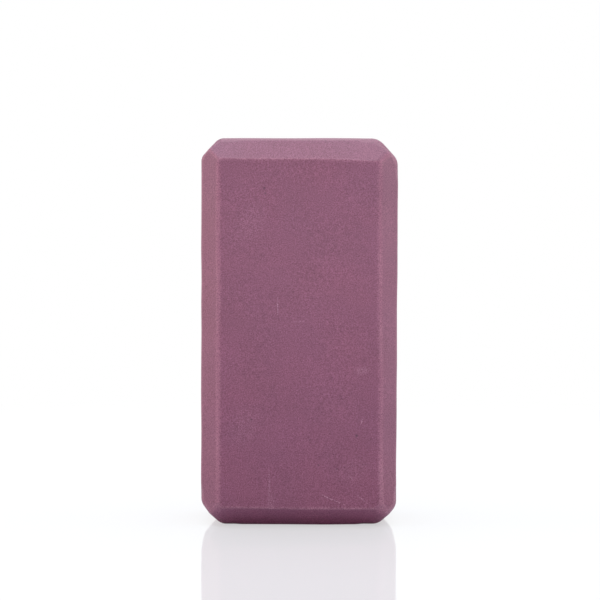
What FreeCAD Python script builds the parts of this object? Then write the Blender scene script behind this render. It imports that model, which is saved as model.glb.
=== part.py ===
import FreeCAD, Part
import os

# A foam yoga block, in millimetres, standing on one end: X is its width, Y its thickness (front at -Y), Z its height.
# Two foam plies are cemented face to face, and the cemented blank is bevelled along all twelve edges and sanded.

# Driving dimensions

BLOCK_HEIGHT = 219.0
BLOCK_WIDTH = 111.0

FRONT_PLY_THICKNESS = 34.9
REAR_PLY_THICKNESS = 34.9

FILM_THICKNESS = 0.2
FILM_INSET = 0.4            # the cement stops this far short of the block's outline

# Legs of the bevels, measured along the two faces that each one joins
LONG_BEVEL = 9.5            # four upright edges of the front and rear faces, at 45 degrees
END_BEVEL = 10.5            # four level edges of the front and rear faces, at 45 degrees
CORNER_BEVEL_ACROSS = 10.2  # four edges that run through the block's thickness, cut a little steeper
CORNER_BEVEL_UP = 11.5

LONG_CREST_RADIUS = 6.5     # the upright crests of the front and rear faces, where hands grip
CORNER_CREST_RADIUS = 7.0   # the crests on both sides of the corner bevels, worn round
CREST_RADIUS = 2.0          # every other crest is only eased by sanding

# Planes and spans that follow from them

BLOCK_THICKNESS = FRONT_PLY_THICKNESS + FILM_THICKNESS + REAR_PLY_THICKNESS
FRONT_PLANE = -BLOCK_THICKNESS / 2
FILM_FRONT_PLANE = FRONT_PLANE + FRONT_PLY_THICKNESS
FILM_REAR_PLANE = FILM_FRONT_PLANE + FILM_THICKNESS

X_AXIS = FreeCAD.Vector(1, 0, 0)
Y_AXIS = FreeCAD.Vector(0, 1, 0)
Z_AXIS = FreeCAD.Vector(0, 0, 1)

NEAR = 1e-6           # places closer than this are the same
SMOOTH_TURN = 0.05    # faces that meet at a smaller angle (radians) run smoothly into each other


def bevelled_prism(start, across, across_span, up, up_span, along, along_span, leg_across, leg_up):
    """Extrudes a rectangle with four corners cut off. start is the uncut rectangle's lowest corner."""
    flat_across = across_span - leg_across
    flat_up = up_span - leg_up
    outline = [
        (leg_across, 0),
        (flat_across, 0),
        (across_span, leg_up),
        (across_span, flat_up),
        (flat_across, up_span),
        (leg_across, up_span),
        (0, flat_up),
        (0, leg_up),
    ]
    points = [start + across * u + up * v for u, v in outline]
    face = Part.Face(Part.makePolygon(points + points[:1]))
    return face.extrude(along * along_span)


def edges_along(shape, axis):
    """A shape's edges that run along an axis."""
    found = []
    for edge in shape.Edges:
        low, high = (vertex.Point for vertex in edge.Vertexes)
        if (high - low).cross(axis).Length < NEAR:
            found.append(edge)
    return found


def bevelled_blank():
    """The whole block with its bevels: what three bevelled prisms, one along each axis, have in common."""
    start = FreeCAD.Vector(-BLOCK_WIDTH / 2, FRONT_PLANE, 0)
    width = (X_AXIS, BLOCK_WIDTH)
    thickness = (Y_AXIS, BLOCK_THICKNESS)
    height = (Z_AXIS, BLOCK_HEIGHT)
    corners_cut = bevelled_prism(start, *width, *height, *thickness, CORNER_BEVEL_ACROSS, CORNER_BEVEL_UP)
    corners_worn = corners_cut.makeFillet(CORNER_CREST_RADIUS, edges_along(corners_cut, Y_AXIS))
    long_edges_cut = bevelled_prism(start, *width, *thickness, *height, LONG_BEVEL, LONG_BEVEL)
    end_edges_cut = bevelled_prism(start, *thickness, *height, *width, END_BEVEL, END_BEVEL)
    return corners_worn.common(long_edges_cut).common(end_edges_cut)


def long_crests(blank):
    """The blank's upright edges that lie in its front or rear face."""
    face_planes = (FRONT_PLANE, FRONT_PLANE + BLOCK_THICKNESS)
    found = []
    for edge in edges_along(blank, Z_AXIS):
        if min(abs(edge.Vertexes[0].Y - plane) for plane in face_planes) < NEAR:
            found.append(edge)
    return found


def normal_at(face, point):
    """A face's outward normal at a point on it."""
    return face.normalAt(*face.Surface.parameter(point))


def sharp_edges(shape):
    """The edges where two faces meet at an angle."""
    found = []
    for edge in shape.Edges:
        first, second = shape.ancestorsOfType(edge, Part.Face)
        middle = edge.valueAt((edge.FirstParameter + edge.LastParameter) / 2)
        if normal_at(first, middle).getAngle(normal_at(second, middle)) > SMOOTH_TURN:
            found.append(edge)
    return found


def sanded_block():
    """The bevelled blank with rounded crests: first the long ones, then all the rest and the mitres between bevels."""
    blank = bevelled_blank()
    gripped = blank.makeFillet(LONG_CREST_RADIUS, long_crests(blank))
    return gripped.makeFillet(CREST_RADIUS, sharp_edges(gripped))


def layer(block, from_plane, to_plane):
    """The slice of the block between two planes across its thickness."""
    corner = FreeCAD.Vector(-BLOCK_WIDTH / 2, from_plane, 0)
    slab = Part.makeBox(BLOCK_WIDTH, to_plane - from_plane, BLOCK_HEIGHT, corner)
    return block.common(slab)


def cement_film(block):
    """The contact cement between the plies: the block's own outline there, drawn in by the inset."""
    outline = block.slice(Y_AXIS, FILM_FRONT_PLANE)[0]
    sheet = Part.Face(outline).makeOffset2D(-FILM_INSET)
    return sheet.extrude(Y_AXIS * FILM_THICKNESS)


def pieces():
    block = sanded_block()
    return {
        "front_foam_ply": layer(block, FRONT_PLANE, FILM_FRONT_PLANE),
        "rear_foam_ply": layer(block, FILM_REAR_PLANE, FRONT_PLANE + BLOCK_THICKNESS),
        "cement_film": cement_film(block),
    }


os.makedirs("parts", exist_ok=True)
for node, shape in pieces().items():
    solid = shape.Solids[0]
    solid.exportStep(f"parts/{node}.step")
    box = solid.BoundBox
    print(f"{node}: {len(shape.Solids)} solid, valid {solid.isValid()}, {solid.Volume:.1f} mm3,",
          f"{box.XLength:.2f} x {box.YLength:.2f} x {box.ZLength:.2f} mm")
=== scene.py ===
import math

import bmesh
import bpy
import numpy as np
from mathutils import Matrix, Vector, kdtree


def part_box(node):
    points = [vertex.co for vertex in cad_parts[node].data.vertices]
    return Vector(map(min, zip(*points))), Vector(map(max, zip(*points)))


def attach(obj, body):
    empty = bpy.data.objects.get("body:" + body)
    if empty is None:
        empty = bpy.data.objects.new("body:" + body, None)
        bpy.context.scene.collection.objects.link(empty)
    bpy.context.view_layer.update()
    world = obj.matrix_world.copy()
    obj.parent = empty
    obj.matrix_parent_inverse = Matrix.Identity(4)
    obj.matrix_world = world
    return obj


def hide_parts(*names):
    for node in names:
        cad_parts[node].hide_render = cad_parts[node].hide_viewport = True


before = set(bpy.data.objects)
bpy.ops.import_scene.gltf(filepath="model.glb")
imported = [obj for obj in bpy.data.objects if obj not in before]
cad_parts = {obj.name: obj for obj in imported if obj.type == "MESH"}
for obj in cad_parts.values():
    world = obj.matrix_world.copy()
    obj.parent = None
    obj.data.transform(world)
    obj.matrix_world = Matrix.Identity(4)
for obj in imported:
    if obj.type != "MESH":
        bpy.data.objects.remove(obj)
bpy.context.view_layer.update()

# A plum foam yoga block standing on its end on a glossy white floor.
# Lengths are in metres. X is the block's width, Y its thickness (front at -Y) and Z its height.

MM = 0.001

# The block's own sizes, from the frame
FRONT_LOW, FRONT_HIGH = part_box("front_foam_ply")
FRONT_PLANE = FRONT_LOW.y
REAR_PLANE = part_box("rear_foam_ply")[1].y
FILM_LOW, FILM_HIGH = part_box("cement_film")
HALF_WIDTH = FRONT_HIGH.x
HEIGHT = FRONT_HIGH.z
HALF_HEIGHT = HEIGHT / 2
PLY_THICKNESS = FRONT_HIGH.y - FRONT_LOW.y
FILM_INSET = FRONT_HIGH.x - FILM_HIGH.x

# Legs of the 45 degree bevels along the faces
LONG_BEVEL = 9.5 * MM
END_BEVEL = 10.5 * MM

# Corner bevels, cut a little steeper. Tables hold the left, then the right corners, each bottom before top
CORNER_BEVEL = np.array([(10.9, 9.1), (9.2, 10.4)]) * MM       # leg across
CORNER_SLOPE = 0.9                                             # leg across per leg up
CORNER_CREST_RADIUS = np.array([(8.0, 5.5), (9.0, 8.5)]) * MM
CORNER_REACH = 9.0 * MM                                        # how far past the bevel that rounding reaches
MITRE_RADIUS = np.array([(9.0, 2.5), (9.0, 5.0)]) * MM         # where long and end bevels meet
# How pale the mitres are drawn, from abrasion and a painted highlight that is strongest at the top mitres
MITRE_WEAR_AND_HIGHLIGHT = np.array([(0.1, 0.8), (0.1, 0.45)])
MITRE_WIDTH = 1.0 * MM

# Rounding of the other crests: soft where hands grip, crisp at the ends
LONG_CREST_RADIUS = 6.5 * MM
END_CREST_RADIUS = 1.3 * MM
SIDE_CREST_RADIUS = 3.2 * MM
CREST_CHANGE = 5.0 * MM      # over this length one crest's radius passes into the next one's
BOND_EDGE_EASE = 0.25 * MM   # the plies' edges beside the cement line
FILM_BULGE = 0.12 * MM       # how far the cement's rim bulges
FILM_WANDER = 0.15 * MM      # how unevenly it was squeezed out
FILM_WANDER_LENGTH = 8 * MM
SHARP_ANGLE = math.radians(40)   # faces that meet at more than this show a sharp edge

# How unevenly a block like this is cut and sanded. The slants are the front ply's
BEVEL_WANDER = 0.16 * MM
BEVEL_WANDER_LENGTH = 70 * MM
FACE_WANDER = 0.05 * MM
FACE_WANDER_LENGTH = 34 * MM
TOP_BEVEL_SLANT = 0.001        # how much a top bevel's leg grows per length of crest, towards +X
TOP_BEVEL_DIP = 2.1 * MM       # how much more it grows at its right end
TOP_DIP_START = 5.0 * MM
BOTTOM_BEVEL_SLANT = -0.006
BOTTOM_BEVEL_EXTRA = 0.3 * MM  # how much wider the bottom bevel is cut
RIGHT_BEVEL_SLANT = 0.0075     # how much a right bevel's leg grows per length of crest, upwards
LEFT_BEVEL_EXTRA = 0.35 * MM   # how much wider the left bevels are cut
LEAN = 0.0028                  # how far the whole block leans: sideways per height

# Paler crests, partly abrasion and partly a painted highlight: where across the turn from flat to bevel it
# peaks, and how strong it is on the other crests
WEAR_AND_HIGHLIGHT_PEAK = 0.62
LEFT_WEAR_AND_HIGHLIGHT = 1.45
RIGHT_WEAR_AND_HIGHLIGHT = 1.05
END_WEAR_AND_HIGHLIGHT = 0.25
END_LINE_WEAR_AND_HIGHLIGHT = 0.85         # a narrow pale line along the outer end crests, from abrasion and a painted highlight
END_LINE_WIDTH = 0.6 * MM

# Mesh spacing
EDGE_ZONE = 15.0 * MM
CREST_ZONE = 2.0 * MM
CREST_STEP = 0.28 * MM
FINE_STEP = 0.6 * MM
COARSE_STEP = 1.15 * MM
PIT_CUTS = 4

# Photograph frame and camera
PICTURE_SIDE = 600
FOCAL_PIXELS = 2815.0
SENSOR = 36.0
CAMERA_PLACE = Vector((0.0016, -1.614, 0.2448))
CAMERA_YAW = math.radians(-0.04)
CAMERA_PITCH = math.radians(4.192)
CAMERA_ROLL = math.radians(0.05)

# Colours, linear
FOAM_COLOUR = (0.1815, 0.0526, 0.1032)
FOAM_WARM = (0.1852, 0.0520, 0.1000)
# Paler crest colour: abrasion, and a painted highlight
FOAM_WORN_AND_HIGHLIGHT = (0.2593, 0.0991, 0.1528)
FOAM_SCUFF = (0.296, 0.130, 0.199)
# Colour of dark scuffs, and of painted shade in the open cells
FOAM_DARK_MARK_AND_PIT_SHADE = (0.109, 0.037, 0.0695)
GRAIN_DARK = (0.47, 0.21, 0.355)   # what the darkest and palest grains multiply the foam's colour by
GRAIN_PALE = (1.53, 1.79, 1.645)
CEMENT_COLOUR = (0.148, 0.065, 0.093)
FLOOR_COLOUR = (0.74, 0.785, 0.84)
FLOOR_WHITE = 0.55           # how far the camera sees the floor as plain white, close to the block
FLOOR_MIRROR = 0.15          # and how far as a plain mirror, on top of the floor's own gloss
FLOOR_NEAR = 0.3             # from this distance to the next it passes into plain white
FLOOR_FAR = 0.62
FLOOR_ROUGHNESS = 0.06
FLOOR_HALF = 3.0             # how far the floor reaches from the block
SKY_FILL = 0.108             # strength of the sky that lights the scene

# The foam's skin. Noise scales are per metre
GRAIN_SCALE = 1650
CLOUD_SCALE = 38
HUE_SCALE = 24
RUB_SCALE = 160
GRIP_SCALE = 22
FOAM_ROUGHNESS = 0.5
FOAM_SPECULAR = 0.46
BUMP_STRENGTH = 0.35
BUMP_HEIGHT = 0.12 * MM

# Softboxes: name, place, target, size (m), watts, tint, spread (degrees), and whether gloss mirrors it
SOFTBOXES = [
    ("overhead_softbox", (0, 0, 1.3), (0, 0, 0.1), (1.8, 1.8), 24.7, (1.0, 1.05, 1.12), 180, True),
    ("front_strip", (0.05, -0.45, 0.17), (0, 0, 0.17), (0.6, 0.12), 0.42, (1.0, 0.92, 0.96), 115, True),
    ("back_strip", (0, 0.6, 0.14), (0, 0, 0.12), (0.8, 0.12), 1.95, (1, 1, 1), 180, False),
    ("left_softbox", (-1.3, 0, 0.4), (0, 0, 0.12), (0.8, 1.0), 9.1, (1.13, 0.94, 0.84), 180, True),
    ("right_softbox", (1.3, 0, 0.4), (0, 0, 0.12), (0.8, 1.0), 7.7, (1.0, 1.0, 0.93), 180, True),
]

# Open cells on the front face: place across and up (mm), radius and depth (mm)
FRONT_PITS = [
    (-19.6, 191.8, 0.9, 0.4),
    (-19.0, 188.9, 0.7, 0.25),
    (32.5, 52.2, 1.05, 0.4),
    (-27.1, 61.3, 0.7, 0.25),
    (6.1, 49.9, 0.6, 0.2),
    (21.2, 33.2, 0.6, 0.2),
    (11.0, 35.5, 0.6, 0.2),
]

# Open cells on the rear face, and how many there are on each long wall of a ply
REAR_PITS = [
    (-31.0, 171.5, 0.8, 0.35),
    (12.4, 143.0, 0.6, 0.2),
    (-8.2, 118.6, 0.7, 0.25),
    (33.8, 88.1, 1.0, 0.4),
    (-25.7, 62.9, 0.6, 0.2),
    (20.3, 38.4, 0.7, 0.3),
]
WALL_PITS = 3
WALL_PIT_RADIUS = (0.5, 0.9)
WALL_PIT_DEPTH = 0.4         # depth per radius

# Scuffs on the front face: place across and up, length, width (mm), slope (degrees), pale (+) or dark (-)
FRONT_MARKS = [
    (-12.1, 125.0, 17.0, 1.1, 90, 0.62),
    (0.0, 116.8, 11.0, 1.4, 2, 0.20),
    (9.0, 105.5, 14.0, 1.6, 0, -0.10),
    (35.9, 89.1, 12.0, 6.0, 8, 0.30),
    (35.6, 60.6, 5.2, 1.1, 70, 0.75),
    (33.6, 60.8, 3.8, 1.0, 60, -0.40),
    (36.6, 35.7, 5.0, 0.9, 0, -0.45),
    (19.6, 15.6, 22.0, 1.0, -23, 0.60),
    (15.5, 17.5, 10.0, 0.9, -31, 0.30),
    (35.3, 16.6, 13.5, 1.1, -40, 0.48),
    (29.1, 28.5, 5.5, 1.2, -40, 0.42),
    (-16.8, 24.0, 27.0, 2.6, 90, 0.24),
    (-15.6, 14.0, 14.0, 6.0, 80, 0.22),
    (-27.7, 172.8, 34.0, 22.0, 60, 0.10),
    (-30.5, 57.9, 32.0, 22.0, 70, 0.11),
    (31.4, 32.5, 30.0, 18.0, 20, 0.07),
]

# Scuffs on the rear face, in the same order
REAR_MARKS = [
    (-22.0, 60.0, 15.0, 0.9, 35, 0.28),
    (-18.5, 56.0, 8.0, 0.7, 30, 0.22),
    (14.0, 150.0, 11.0, 0.8, 80, 0.26),
    (30.0, 104.0, 9.0, 5.0, -15, 0.11),
    (8.0, 30.0, 28.0, 18.0, 10, 0.05),
]
MARK_DEPTH = 2 * MM          # a scuff reaches this far into the foam
MARK_CORE = 0.2              # share of its radius that shows at full strength


def drift(points, wavelength, seed, waves=12):
    """A smooth random field of about unit size at each point, from plane waves of about one wavelength."""
    rng = np.random.default_rng(seed)
    way = rng.normal(size=(waves, 3))
    way /= np.linalg.norm(way, axis=1, keepdims=True)
    way *= rng.uniform(0.6, 1.6, (waves, 1)) * 2 * math.pi / wavelength
    phase = rng.uniform(0, 2 * math.pi, waves)
    return np.sin(points @ way.T + phase).sum(axis=1) * math.sqrt(2 / waves)


def ramp(value, low, high):
    """Goes smoothly from 0 at low to 1 at high."""
    t = np.clip((value - low) / (high - low), 0, 1)
    return t * t * (3 - 2 * t)


def steps(low, high, step):
    """Evenly spaced places from low up to, but not at, high."""
    return np.linspace(low, high, max(1, round((high - low) / step)), endpoint=False)


def edge_lines(leg):
    """Distances of grid lines from a block's edge through the edge zone, closest together at the crest."""
    return np.concatenate([
        steps(0, leg - CREST_ZONE, FINE_STEP),
        steps(leg - CREST_ZONE, leg + CREST_ZONE, CREST_STEP),
        steps(leg + CREST_ZONE, EDGE_ZONE, FINE_STEP),
    ])


def face_lines(half, leg):
    """Places of grid lines across a face that reaches from -half to half."""
    edge = edge_lines(leg)
    middle = steps(EDGE_ZONE - half, half - EDGE_ZONE, COARSE_STEP)
    return np.concatenate([edge - half, middle, [half - EDGE_ZONE], half - edge[::-1]])


def depth_lines():
    """Places of grid lines through a ply, from its outer face to the bond."""
    rest = steps(EDGE_ZONE, PLY_THICKNESS - BOND_EDGE_EASE, COARSE_STEP)
    return np.concatenate([edge_lines(END_BEVEL), rest, [PLY_THICKNESS - BOND_EDGE_EASE, PLY_THICKNESS]])


def box_grid():
    """Points (x, depth, z from mid height), faces and bond ring of a ply's plain box."""
    xs = face_lines(HALF_WIDTH, LONG_BEVEL)
    zs = face_lines(HALF_HEIGHT, END_BEVEL)
    across, up = len(xs), len(zs)
    x, z = np.meshgrid(xs, zs, indexing="ij")
    outer = np.stack([x.ravel(), np.zeros(x.size), z.ravel()], axis=1)
    number = np.arange(across * up).reshape(across, up)
    rim = np.concatenate([number[:-1, 0], number[-1, :-1], number[:0:-1, -1], number[0, :0:-1]])
    walls = [outer[rim] + (0, depth, 0) for depth in depth_lines()[1:]]
    points = np.concatenate([outer, *walls])
    quads = np.stack([number[:-1, :-1], number[1:, :-1], number[1:, 1:], number[:-1, 1:]], axis=-1)
    faces = quads.reshape(-1, 4).tolist()
    rings = [rim] + [across * up + k * len(rim) + np.arange(len(rim)) for k in range(len(walls))]
    for near, far in zip(rings, rings[1:]):
        wall = np.stack([np.roll(near, -1), near, far, np.roll(far, -1)], axis=-1)
        faces.extend(wall.tolist())
    faces.append(rings[-1].tolist())
    return points, faces, rings[-1]


# Outward normals in one octant: the flats (side, outer face, end), then the bevels between them
SIDE, OUTER, END = np.array([(1, 0, 0), (0, -1, 0), (0, 0, 1)], float)
FLATS = np.array([SIDE, OUTER, END])
BEVELS = np.array([SIDE + OUTER, OUTER + END, SIDE + CORNER_SLOPE * END])
BEVELS /= np.linalg.norm(BEVELS, axis=1, keepdims=True)
NORMALS = np.concatenate([FLATS, BEVELS])


def corner_of(points):
    """Place in the corners' tables of the corner nearest to each point."""
    return (points[:, 0] > 0).astype(int), (points[:, 2] > 0).astype(int)


def bevel_legs(points, seed, slanted):
    """Leg of the long, end and corner bevel that belongs to each point, with the wander of hand-fed cuts."""
    wander = [BEVEL_WANDER * drift(points, BEVEL_WANDER_LENGTH, seed + k) for k in range(3)]
    x, z = points[:, 0], points[:, 2]
    long_change = np.where(x > 0, RIGHT_BEVEL_SLANT * z, LEFT_BEVEL_EXTRA)
    top_change = TOP_BEVEL_SLANT * x + TOP_BEVEL_DIP * ramp(x, TOP_DIP_START, HALF_WIDTH)
    end_change = np.where(z > 0, top_change, BOTTOM_BEVEL_EXTRA + BOTTOM_BEVEL_SLANT * x)
    long_leg = LONG_BEVEL + slanted * long_change + wander[0]
    end_leg = END_BEVEL + slanted * end_change + wander[1]
    return long_leg, end_leg, CORNER_BEVEL[corner_of(points)] + wander[2]


def past_face(folded):
    """How far each point lies past the outer face's long edge and past its end edge."""
    return folded[:, 0] - (HALF_WIDTH - LONG_BEVEL), folded[:, 2] - (HALF_HEIGHT - END_BEVEL)


def long_share(folded):
    """How much each point belongs to a long crest (1) rather than an end crest (0)."""
    past_side, past_end = past_face(folded)
    return ramp(past_side - past_end, -CREST_CHANGE / 2, CREST_CHANGE / 2)


def crest_radius(folded, corner):
    """Rounding radius that belongs to each point."""
    deep = ramp(folded[:, 1], LONG_BEVEL / 3, LONG_BEVEL)
    at_face = END_CREST_RADIUS + (LONG_CREST_RADIUS - END_CREST_RADIUS) * long_share(folded)
    along_edge = at_face + (SIDE_CREST_RADIUS - at_face) * deep
    at_corner = MITRE_RADIUS[corner] + (CORNER_CREST_RADIUS[corner] - MITRE_RADIUS[corner]) * deep
    into_corner = np.minimum(*past_face(folded)) + CORNER_REACH * deep
    return along_edge + (at_corner - along_edge) * ramp(into_corner, -CREST_CHANGE, 0)


def nearest_inside(points, reach, rounds=40):
    """Nearest points of the convex body whose planes lie at reach along NORMALS, by repeated projections."""
    found = points.copy()
    held = np.zeros_like(reach)
    for _ in range(rounds):
        for k, normal in enumerate(NORMALS):
            found += held[:, k, None] * normal
            held[:, k] = np.maximum(found @ normal - reach[:, k], 0)
            found -= held[:, k, None] * normal
    return found


def near_line(first, second, width):
    """Fades from 1 on the line where two distances are nought to 0 at about twice the width from it."""
    return np.exp(-(first * first + second * second) / (width * width))


def crest_wear_and_highlight(way, folded, placed, reach, corner):
    """How pale each point is drawn, partly from abrasion and partly as a painted highlight that peaks part
    way across the turn: most along the long crests, less along mitres and end crests.
    """
    from_flat = np.arccos(np.clip((way @ FLATS.T).max(axis=1), -1, 1))
    from_bevel = np.arccos(np.clip((way @ BEVELS.T).max(axis=1), -1, 1))
    turned = from_flat / (from_flat + from_bevel)
    turn_wear_and_highlight = ramp(turned, 0, WEAR_AND_HIGHLIGHT_PEAK) * (1 - ramp(turned, WEAR_AND_HIGHLIGHT_PEAK, 1))
    share = long_share(folded)
    long_wear_and_highlight = np.where(corner[0], RIGHT_WEAR_AND_HIGHLIGHT, LEFT_WEAR_AND_HIGHLIGHT)
    under_long, under_end = (reach[:, 3:5] - placed @ BEVELS[:2].T).T
    line_wear_and_highlight = END_LINE_WEAR_AND_HIGHLIGHT * near_line(placed[:, 1], under_end, END_LINE_WIDTH) * (1 - share)
    under_both = np.minimum(under_long, under_end)
    mitre_wear_and_highlight = MITRE_WEAR_AND_HIGHLIGHT[corner] * near_line(under_long - under_end, under_both, MITRE_WIDTH)
    return turn_wear_and_highlight * (END_WEAR_AND_HIGHLIGHT + (long_wear_and_highlight - END_WEAR_AND_HIGHLIGHT) * share) + line_wear_and_highlight + mitre_wear_and_highlight


def bevelled(points, seed, slanted):
    """Places of a plain box's points on the bevelled, rounded block, with outward ways and how pale each is
    drawn from abrasion and a painted highlight.
    """
    side = np.where(points[:, [0, 2]] < 0, -1.0, 1.0)
    folded = points.copy()
    folded[:, [0, 2]] *= side
    corner = corner_of(points)
    long_leg, end_leg, corner_leg = bevel_legs(points, seed, slanted)
    radius = crest_radius(folded, corner)
    on_long_crest = SIDE * (HALF_WIDTH - long_leg)[:, None]
    on_end_crest = END * (HALF_HEIGHT - end_leg)[:, None]
    on_corner_crest = SIDE * (HALF_WIDTH - corner_leg)[:, None] + END * HALF_HEIGHT
    reach = np.stack([
        np.full(len(points), HALF_WIDTH),
        np.zeros(len(points)),
        np.full(len(points), HALF_HEIGHT),
        on_long_crest @ BEVELS[0],
        on_end_crest @ BEVELS[1],
        on_corner_crest @ BEVELS[2],
    ], axis=1)
    core = nearest_inside(folded, reach - radius[:, None])
    way = folded - core
    way /= np.linalg.norm(way, axis=1, keepdims=True)
    placed = core + way * radius[:, None]
    wear_and_highlight = crest_wear_and_highlight(way, folded, placed, reach, corner)
    placed[:, [0, 2]] *= side
    way[:, [0, 2]] *= side
    return placed, way, wear_and_highlight


def ply_points(seed, slanted):
    """Points (x, depth, z from mid height), faces, and the abrasion and painted highlight of one ply."""
    points, faces, bond_ring = box_grid()
    points, way, wear_and_highlight = bevelled(points, seed, slanted)
    points += way * (FACE_WANDER * drift(points, FACE_WANDER_LENGTH, seed + 9))[:, None]
    points[bond_ring] -= way[bond_ring] * BOND_EDGE_EASE
    points[bond_ring, 1] = PLY_THICKNESS
    return points, faces, wear_and_highlight


def stood(points, outer_plane, inward):
    """Points of (x, depth, z from mid height) placed in the frame, with the block's lean."""
    across = points[:, 0] + LEAN * points[:, 2]
    return np.stack([across, outer_plane + inward * points[:, 1], points[:, 2] + HALF_HEIGHT], axis=1)


def face_pits(pits, outer_plane):
    """Place, radius and depth of each listed open cell on an outer face."""
    return [
        (Vector((across * MM, outer_plane, up * MM)), radius * MM, depth * MM)
        for across, up, radius, depth in pits
    ]


def wall_pits(outer_plane, inward, seed):
    """Place, radius and depth of seeded open cells on a ply's two long walls."""
    rng = np.random.default_rng(seed)
    pits = []
    for wall in (-HALF_WIDTH, HALF_WIDTH):
        for k in range(WALL_PITS):
            up = HEIGHT * ((k + rng.uniform(0.25, 0.75)) / WALL_PITS - 0.5)
            depth = rng.uniform(EDGE_ZONE, PLY_THICKNESS - EDGE_ZONE / 4)
            place = stood(np.array([(wall, depth, up)]), outer_plane, inward)[0]
            radius = rng.uniform(*WALL_PIT_RADIUS) * MM
            pits.append((Vector(place), radius, radius * WALL_PIT_DEPTH))
    return pits


def press_pit(work, faces, place, radius, depth):
    """Presses a round open cell into the surface at place, on a finer mesh in place of the faces there."""
    edges = list({edge for face in faces for edge in face.edges})
    split = bmesh.ops.subdivide_edges(work, edges=edges, cuts=PIT_CUTS, use_grid_fill=True)
    layer = work.verts.layers.float["pit_shade"]
    for vert in {item for item in split["geom"] if isinstance(item, bmesh.types.BMVert)}:
        share = (vert.co - place).length / radius
        bowl = max(0.0, 1 - share * share) ** 1.5
        vert.co -= vert.normal * (depth * bowl)
        # The open cell's mask darkens its colour: painted shade in the hollow
        vert[layer] = max(vert[layer], min(1.0, 1.2 * bowl))


def new_piece(name, mesh):
    """An object in the scene that shows a mesh with smooth faces and sharp cut edges."""
    mesh.shade_smooth()
    mesh.set_sharp_from_angle(angle=SHARP_ANGLE)
    piece = bpy.data.objects.new(name, mesh)
    bpy.context.scene.collection.objects.link(piece)
    return piece


def make_ply(name, outer_plane, inward, pits, seed, slanted):
    """One foam ply as a closed mesh, with its open cells pressed in."""
    points, faces, wear_and_highlight = ply_points(seed, slanted)
    mesh = bpy.data.meshes.new(name)
    mesh.from_pydata(stood(points, outer_plane, inward).tolist(), [], faces)
    # The crests' paleness, partly abrasion and partly a painted highlight, is kept on the mesh
    mesh.attributes.new("wear_and_highlight", "FLOAT", "POINT").data.foreach_set("value", wear_and_highlight.astype(np.float32))
    # Mask of painted shade in the open cells
    mesh.attributes.new("pit_shade", "FLOAT", "POINT")
    work = bmesh.new()
    work.from_mesh(mesh)
    bmesh.ops.recalc_face_normals(work, faces=work.faces)
    cells = [face for face in work.faces if len(face.verts) == 4]
    centres = kdtree.KDTree(len(cells))
    for k, face in enumerate(cells):
        centres.insert(face.calc_center_median(), k)
    centres.balance()
    for place, radius, depth in face_pits(pits, outer_plane) + wall_pits(outer_plane, inward, seed):
        found = centres.find_range(place, radius + COARSE_STEP)
        press_pit(work, [cells[k] for _, k, _ in found], place, radius, depth)
    work.to_mesh(mesh)
    work.free()
    return new_piece(name, mesh)


def make_cement(name, seed):
    """The cement between the plies: a thin sheet with an uneven, slightly bulged rim inside the foam."""
    points, _, bond_ring = box_grid()
    rim, way, _ = bevelled(points[bond_ring], seed, slanted=False)
    rim -= way * (FILM_INSET + FILM_WANDER * drift(rim, FILM_WANDER_LENGTH, seed))[:, None]
    loops = []
    for level, bulge in ((FILM_LOW.y, 0), ((FILM_LOW.y + FILM_HIGH.y) / 2, FILM_BULGE), (FILM_HIGH.y, 0)):
        loop = rim + way * bulge
        loop[:, 1] = level
        loops.append(loop)
    count = len(rim)
    faces = [list(range(count)), list(range(2 * count, 3 * count))[::-1]]
    for k in range(2):
        for i in range(count):
            j = (i + 1) % count
            faces.append((k * count + j, k * count + i, (k + 1) * count + i, (k + 1) * count + j))
    mesh = bpy.data.meshes.new(name)
    mesh.from_pydata(stood(np.concatenate(loops), 0, 1).tolist(), [], faces)
    work = bmesh.new()
    work.from_mesh(mesh)
    bmesh.ops.recalc_face_normals(work, faces=work.faces)
    work.to_mesh(mesh)
    work.free()
    return new_piece(name, mesh)


def new_material(name):
    """An empty node material: its material and tree."""
    material = bpy.data.materials.new(name)
    material.use_nodes = True
    material.node_tree.nodes.clear()
    return material, material.node_tree


def add(tree, kind, inputs, **settings):
    """Adds a node with its settings and inputs, where an input is a value or the socket that feeds it."""
    node = tree.nodes.new(kind)
    for name, value in settings.items():
        setattr(node, name, value)
    for name, value in inputs.items():
        socket = node.inputs[name]
        if isinstance(value, bpy.types.NodeSocket):
            tree.links.new(value, socket)
        else:
            socket.default_value = value
    return node


def noise(tree, place, scale, detail, roughness=0.5):
    """A noise texture's value at place, about 0.5 on average."""
    inputs = {"Vector": place, "Scale": scale, "Detail": detail, "Roughness": roughness}
    return add(tree, "ShaderNodeTexNoise", inputs).outputs["Fac"]


def spread(tree, value, low, high, to_low, to_high, smooth=False):
    """Maps a value from low..high onto to_low..to_high."""
    inputs = {"Value": value, "From Min": low, "From Max": high, "To Min": to_low, "To Max": to_high}
    kind = "SMOOTHSTEP" if smooth else "LINEAR"
    return add(tree, "ShaderNodeMapRange", inputs, interpolation_type=kind).outputs["Result"]


def calculate(tree, operation, first, second, clamp=False):
    """A sum, product or the like of two values."""
    node = add(tree, "ShaderNodeMath", {0: first, 1: second}, operation=operation, use_clamp=clamp)
    return node.outputs["Value"]


def blend(tree, share, first, second, kind="MIX"):
    """Mixes two colours by a share."""
    inputs = {"Factor": share, "A": first, "B": second}
    return add(tree, "ShaderNodeMix", inputs, data_type="RGBA", blend_type=kind).outputs["Result"]


def attribute(tree, name):
    """A mesh attribute's value."""
    return add(tree, "ShaderNodeAttribute", {}, attribute_name=name).outputs["Fac"]


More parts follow.
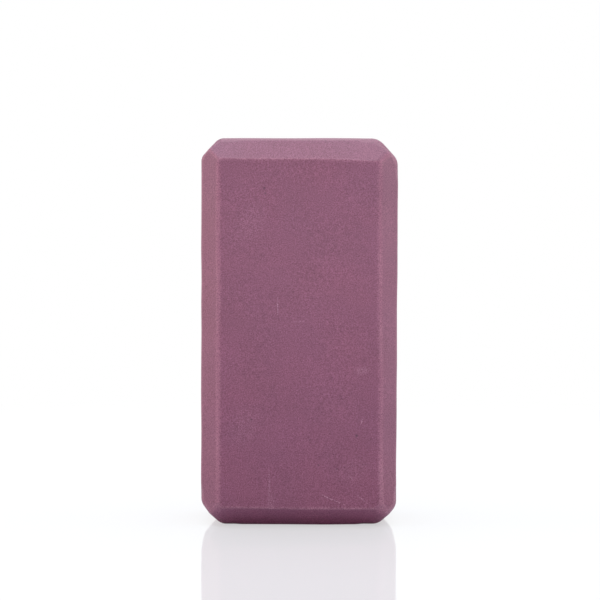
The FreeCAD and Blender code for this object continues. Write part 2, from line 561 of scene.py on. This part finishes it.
def mark_mask(tree, place, mark, plane):
    """How strongly a scuff shows at place: an ellipse on the outer face that fades towards its rim."""
    across, up, length, width, slope, strength = mark
    inputs = {
        "Vector": place,
        "Location": (across * MM, plane, up * MM),
        "Rotation": (0, -math.radians(slope), 0),
        "Scale": (length / 2 * MM, MARK_DEPTH, width / 2 * MM),
    }
    local = add(tree, "ShaderNodeMapping", inputs, vector_type="TEXTURE").outputs["Vector"]
    distance = add(tree, "ShaderNodeVectorMath", {0: local}, operation="LENGTH").outputs["Value"]
    return spread(tree, distance, MARK_CORE, 1.0, abs(strength), 0.0, smooth=True)


def marks_sum(tree, place, marks, plane):
    """All the marks' masks together."""
    total = 0.0
    for mark in marks:
        total = calculate(tree, "ADD", total, mark_mask(tree, place, mark, plane))
    return total


def foam_material(name, marks, plane):
    """Matte closed-cell foam: fine speckle, soft blotches, paler crests from abrasion and a painted
    highlight, scuffs, and open cells darkened by painted shade.
    """
    material, tree = new_material(name)
    place = add(tree, "ShaderNodeTexCoord", {}).outputs["Object"]
    grain = noise(tree, place, GRAIN_SCALE, 3, 0.6)
    cloud = spread(tree, noise(tree, place, CLOUD_SCALE, 4), 0.3, 0.7, 0.945, 1.055)
    speckle = blend(tree, spread(tree, grain, 0.25, 0.75, 0.0, 1.0), (*GRAIN_DARK, 1), (*GRAIN_PALE, 1))
    tone = blend(tree, 1.0, speckle, cloud, "MULTIPLY")

    hue = spread(tree, noise(tree, place, HUE_SCALE, 2), 0.35, 0.65, 0.0, 1.0)
    colour = blend(tree, hue, (*FOAM_COLOUR, 1), (*FOAM_WARM, 1))
    rub = spread(tree, noise(tree, place, RUB_SCALE, 4), 0.3, 0.7, 0.7, 1.15)
    grip = spread(tree, noise(tree, place, GRIP_SCALE, 1), 0.35, 0.65, 0.7, 1.2)
    handled = calculate(tree, "MULTIPLY", rub, grip)
    # Crests drawn paler: abrasion, and a painted highlight
    worn_and_highlight = calculate(tree, "MULTIPLY", attribute(tree, "wear_and_highlight"), handled, clamp=True)
    colour = blend(tree, worn_and_highlight, colour, (*FOAM_WORN_AND_HIGHLIGHT, 1))
    pale = marks_sum(tree, place, [m for m in marks if m[-1] > 0], plane)
    pale = calculate(tree, "MULTIPLY", pale, spread(tree, grain, 0.35, 0.65, 0.5, 1.5), clamp=True)
    colour = blend(tree, pale, colour, (*FOAM_SCUFF, 1))
    dark = marks_sum(tree, place, [m for m in marks if m[-1] < 0], plane)
    # Open cells get painted shade on top of the dark scuffs
    dark = calculate(tree, "ADD", dark, attribute(tree, "pit_shade"), clamp=True)
    colour = blend(tree, dark, colour, (*FOAM_DARK_MARK_AND_PIT_SHADE, 1))
    colour = blend(tree, 1.0, colour, tone, "MULTIPLY")

    relief = {"Strength": BUMP_STRENGTH, "Distance": BUMP_HEIGHT, "Height": grain}
    inputs = {
        "Base Color": colour,
        "Roughness": FOAM_ROUGHNESS,
        "Specular IOR Level": FOAM_SPECULAR,
        "Normal": add(tree, "ShaderNodeBump", relief).outputs["Normal"],
    }
    shader = add(tree, "ShaderNodeBsdfPrincipled", inputs)
    add(tree, "ShaderNodeOutputMaterial", {"Surface": shader.outputs["BSDF"]})
    return material


def cement_material():
    """Dried contact cement: darker and a little shinier than the foam, with an uneven skin."""
    material, tree = new_material("contact_cement")
    place = add(tree, "ShaderNodeTexCoord", {}).outputs["Object"]
    skin = noise(tree, place, 420, 3)
    colour = blend(tree, skin, (*CEMENT_COLOUR, 1), (*FOAM_COLOUR, 1))
    shader = add(tree, "ShaderNodeBsdfPrincipled", {"Base Color": colour, "Roughness": 0.5})
    add(tree, "ShaderNodeOutputMaterial", {"Surface": shader.outputs["BSDF"]})
    return material


def floor_material():
    """Glossy acrylic with the block's reflection and shadow, which the camera sees pass into plain white."""
    material, tree = new_material("floor")
    place = add(tree, "ShaderNodeTexCoord", {}).outputs["Object"]
    distance = add(tree, "ShaderNodeVectorMath", {0: place}, operation="LENGTH").outputs["Value"]
    white = spread(tree, distance, FLOOR_NEAR, FLOOR_FAR, FLOOR_WHITE, 1.0, smooth=True)
    camera = add(tree, "ShaderNodeLightPath", {}).outputs["Is Camera Ray"]
    inputs = {"Base Color": (*FLOOR_COLOUR, 1), "Roughness": FLOOR_ROUGHNESS, "IOR": 1.45}
    acrylic = add(tree, "ShaderNodeBsdfPrincipled", inputs).outputs["BSDF"]
    inputs = {"Color": (1, 1, 1, 1), "Roughness": FLOOR_ROUGHNESS}
    mirror = add(tree, "ShaderNodeBsdfGlossy", inputs).outputs["BSDF"]
    plain = add(tree, "ShaderNodeEmission", {"Color": (1, 1, 1, 1), "Strength": 1.0}).outputs["Emission"]
    shine = calculate(tree, "MULTIPLY", camera, FLOOR_MIRROR / (1 - FLOOR_WHITE))
    glossy = add(tree, "ShaderNodeMixShader", {0: shine, 1: acrylic, 2: mirror}).outputs["Shader"]
    share = calculate(tree, "MULTIPLY", camera, white)
    seen = add(tree, "ShaderNodeMixShader", {0: share, 1: glossy, 2: plain})
    add(tree, "ShaderNodeOutputMaterial", {"Surface": seen.outputs["Shader"]})
    return material


def make_floor():
    """A level square under the block."""
    mesh = bpy.data.meshes.new("floor")
    corners = [(x * FLOOR_HALF, y * FLOOR_HALF, 0) for x, y in ((-1, -1), (1, -1), (1, 1), (-1, 1))]
    mesh.from_pydata(corners, [], [(0, 1, 2, 3)])
    mesh.materials.append(floor_material())
    floor = bpy.data.objects.new("floor", mesh)
    bpy.context.scene.collection.objects.link(floor)


def make_world():
    """White to the camera and in reflections, and a plain grey sky to everything else."""
    world = bpy.data.worlds.new("studio")
    world.use_nodes = True
    tree = world.node_tree
    tree.nodes.clear()
    path = add(tree, "ShaderNodeLightPath", {})
    seen = path.outputs["Is Camera Ray"]
    for kind in ("Is Glossy Ray", "Is Transmission Ray"):
        seen = calculate(tree, "ADD", seen, path.outputs[kind], clamp=True)
    strength = spread(tree, seen, 0.0, 1.0, SKY_FILL, 1.0)
    sky = add(tree, "ShaderNodeBackground", {"Color": (1, 1, 1, 1), "Strength": strength})
    add(tree, "ShaderNodeOutputWorld", {"Surface": sky.outputs["Background"]})
    bpy.context.scene.world = world


def add_softbox(name, place, target, size, watts, colour, spread_angle, mirrored):
    """An area lamp that faces its target and that the camera doesn't see."""
    light = bpy.data.lights.new(name, "AREA")
    light.shape = "RECTANGLE"
    light.size, light.size_y = size
    light.energy = watts
    light.color = colour
    light.spread = math.radians(spread_angle)
    lamp = bpy.data.objects.new(name, light)
    lamp.location = place
    lamp.rotation_euler = (Vector(target) - Vector(place)).to_track_quat("-Z", "Y").to_euler()
    lamp.visible_camera = False
    lamp.visible_glossy = mirrored
    bpy.context.scene.collection.objects.link(lamp)


def make_camera():
    """The photograph's viewpoint, as turned by its yaw, pitch and roll."""
    forward = Vector((
        math.sin(CAMERA_YAW) * math.cos(CAMERA_PITCH),
        math.cos(CAMERA_YAW) * math.cos(CAMERA_PITCH),
        -math.sin(CAMERA_PITCH),
    ))
    level = Vector((math.cos(CAMERA_YAW), -math.sin(CAMERA_YAW), 0))
    upright = level.cross(forward)
    right = level * math.cos(CAMERA_ROLL) + upright * math.sin(CAMERA_ROLL)
    up = upright * math.cos(CAMERA_ROLL) - level * math.sin(CAMERA_ROLL)
    data = bpy.data.cameras.new("camera")
    data.sensor_width = SENSOR
    data.lens = FOCAL_PIXELS / PICTURE_SIDE * SENSOR
    camera = bpy.data.objects.new("camera", data)
    turn = Matrix((right, up, -forward)).transposed().to_4x4()
    camera.matrix_world = Matrix.Translation(CAMERA_PLACE) @ turn
    bpy.context.scene.collection.objects.link(camera)
    bpy.context.scene.camera = camera


front = make_ply("front_foam", FRONT_PLANE, 1, FRONT_PITS, seed=11, slanted=True)
rear = make_ply("rear_foam", REAR_PLANE, -1, REAR_PITS, seed=47, slanted=False)
cement = make_cement("cement_line", seed=83)
front.data.materials.append(foam_material("front_plum_foam", FRONT_MARKS, FRONT_PLANE))
rear.data.materials.append(foam_material("rear_plum_foam", REAR_MARKS, REAR_PLANE))
cement.data.materials.append(cement_material())
for piece, node, slot in (
    (front, "front_foam_ply", "foam"),
    (rear, "rear_foam_ply", "foam"),
    (cement, "cement_film", "cement"),
):
    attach(piece, "root")
    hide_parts(node)

make_floor()
make_world()
for softbox in SOFTBOXES:
    add_softbox(*softbox)
make_camera()

bpy.context.scene.view_settings.view_transform = "Standard"
